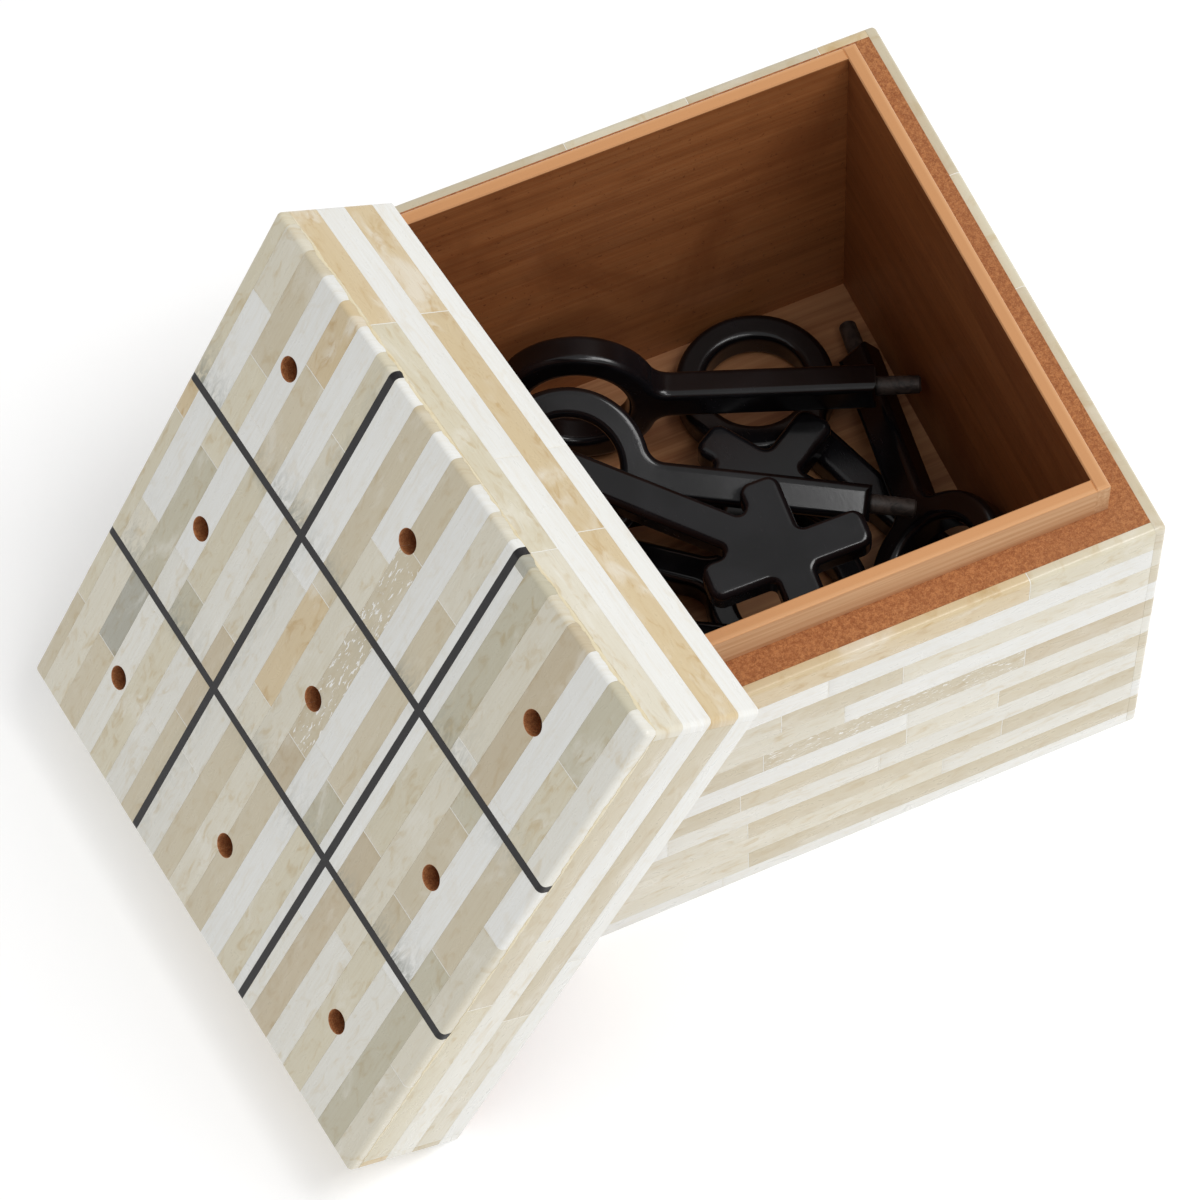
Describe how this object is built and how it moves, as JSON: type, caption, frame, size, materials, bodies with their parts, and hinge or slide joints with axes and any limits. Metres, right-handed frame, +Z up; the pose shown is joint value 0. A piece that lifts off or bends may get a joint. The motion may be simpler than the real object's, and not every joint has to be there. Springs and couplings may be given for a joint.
{
  "type": "tic tac toe set",
  "caption": "Square bone-clad box with a loose lid carrying an inlaid three by three grid with peg holes, and carved dark ring and cross playing pieces with round pegs.",
  "frame": {"origin": "centre of the underside of the box", "axes": "+Z up, +X to the right along the box front, +Y to the back; the lid leans on the box's left rim"},
  "size_m": [0.2385, 0.1889, 0.1439],
  "materials": {
    "bone": "satin",
    "black_inlay": "satin",
    "lining_wood": "satin",
    "floor_wood": "satin",
    "fibreboard": "matte",
    "horn": "satin"
  },
  "bodies": {
    "box": {"box_bone_back": "bone", "box_bone_front": "bone", "box_bone_left": "bone", "box_bone_right": "bone", "box_core_back": "fibreboard", "box_core_front": "fibreboard", "box_core_left": "fibreboard", "box_core_right": "fibreboard", "box_floor_board": "fibreboard", "box_floor_lining": "floor_wood", "box_liner_back": "lining_wood", "box_liner_front": "lining_wood", "box_liner_left": "lining_wood", "box_liner_right": "lining_wood"},
    "lid": {"lid_board": "fibreboard", "lid_bone_back": "bone", "lid_bone_front": "bone", "lid_bone_lower": "bone", "lid_bone_upper": "bone", "lid_line_back": "black_inlay", "lid_line_front": "black_inlay", "lid_line_lower": "black_inlay", "lid_line_upper": "black_inlay", "lid_skirt_back": "fibreboard", "lid_skirt_front": "fibreboard", "lid_skirt_lower": "fibreboard", "lid_skirt_upper": "fibreboard", "lid_square_lower_back": "bone", "lid_square_lower_centre": "bone", "lid_square_lower_front": "bone", "lid_square_middle_back": "bone", "lid_square_middle_centre": "bone", "lid_square_middle_front": "bone", "lid_square_upper_back": "bone", "lid_square_upper_centre": "bone", "lid_square_upper_front": "bone"},
    "o_piece_1": {"o_piece_1": "horn"},
    "o_piece_2": {"o_piece_2": "horn"},
    "o_piece_3": {"o_piece_3": "horn"},
    "o_piece_4": {"o_piece_4": "horn"},
    "o_piece_5": {"o_piece_5": "horn"},
    "x_piece_1": {"x_piece_1": "horn"},
    "x_piece_2": {"x_piece_2": "horn"},
    "x_piece_3": {"x_piece_3": "horn"},
    "x_piece_4": {"x_piece_4": "horn"},
    "x_piece_5": {"x_piece_5": "horn"}
  },
  "joints": [
    {"name": "lid_slide", "type": "slide", "parent": "box", "child": "lid", "axis": [-0.8, 0, 0.6], "range_m": [0, 0.16]},
    {"name": "x_piece_4_lift", "type": "slide", "parent": "box", "child": "x_piece_4", "axis": [0, 0, 1], "range_m": [0, 0.0956]},
    {"name": "x_piece_5_lift", "type": "slide", "parent": "x_piece_4", "child": "x_piece_5", "axis": [0, 0, 1], "range_m": [0, 0.0945]},
    {"name": "o_piece_5_lift", "type": "slide", "parent": "x_piece_4", "child": "o_piece_5", "axis": [0, 0, 1], "range_m": [0, 0.0956]},
    {"name": "x_piece_3_lift", "type": "slide", "parent": "o_piece_5", "child": "x_piece_3", "axis": [0, 0, 1], "range_m": [0, 0.0872]},
    {"name": "o_piece_2_lift", "type": "slide", "parent": "x_piece_3", "child": "o_piece_2", "axis": [0, 0, 1], "range_m": [0, 0.0956]},
    {"name": "x_piece_1_lift", "type": "slide", "parent": "o_piece_2", "child": "x_piece_1", "axis": [0, 0, 1], "range_m": [0, 0.0872]},
    {"name": "o_piece_4_lift", "type": "slide", "parent": "x_piece_1", "child": "o_piece_4", "axis": [0, 0, 1], "range_m": [0, 0.0956]},
    {"name": "o_piece_1_lift", "type": "slide", "parent": "o_piece_4", "child": "o_piece_1", "axis": [0, 0, 1], "range_m": [0, 0.0956]},
    {"name": "o_piece_3_lift", "type": "slide", "parent": "o_piece_4", "child": "o_piece_3", "axis": [0, 0, 1], "range_m": [0, 0.078]},
    {"name": "x_piece_2_lift", "type": "slide", "parent": "o_piece_3", "child": "x_piece_2", "axis": [0, 0, 1], "range_m": [0, 0.068]}
  ]
}
